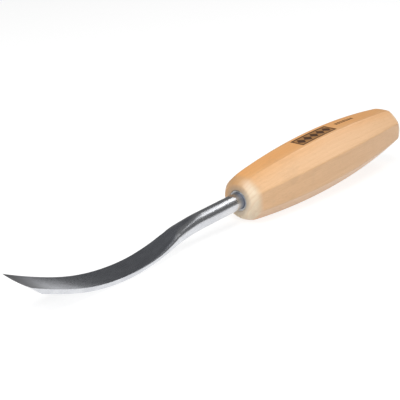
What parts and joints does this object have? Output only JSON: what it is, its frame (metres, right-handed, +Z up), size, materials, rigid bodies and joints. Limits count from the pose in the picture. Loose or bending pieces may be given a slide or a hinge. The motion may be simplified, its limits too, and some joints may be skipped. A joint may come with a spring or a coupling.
{
  "type": "carving gouge",
  "caption": "Long-bent carving gouge: a shallow curved steel blade on a round shank, set with an internal ferrule in an eight-sided barrel-shaped wooden handle.",
  "frame": {"origin": "middle of the tool's footprint, on the bench it lies on, hollow side of the blade up", "axes": "+X from the cutting edge to the butt of the handle, +Y across the blade, +Z up from the bench; the shank's axis rises 3.8 degrees towards the butt"},
  "size_m": [0.257, 0.0306, 0.0325],
  "materials": {
    "blade_steel": "polished shank, satin ground face",
    "ferrule_steel": "satin",
    "handle_wood": "clear satin lacquer"
  },
  "bodies": {
    "root": {"blade": "blade_steel", "ferrule": "ferrule_steel", "handle": "handle_wood"}
  },
  "joints": []
}
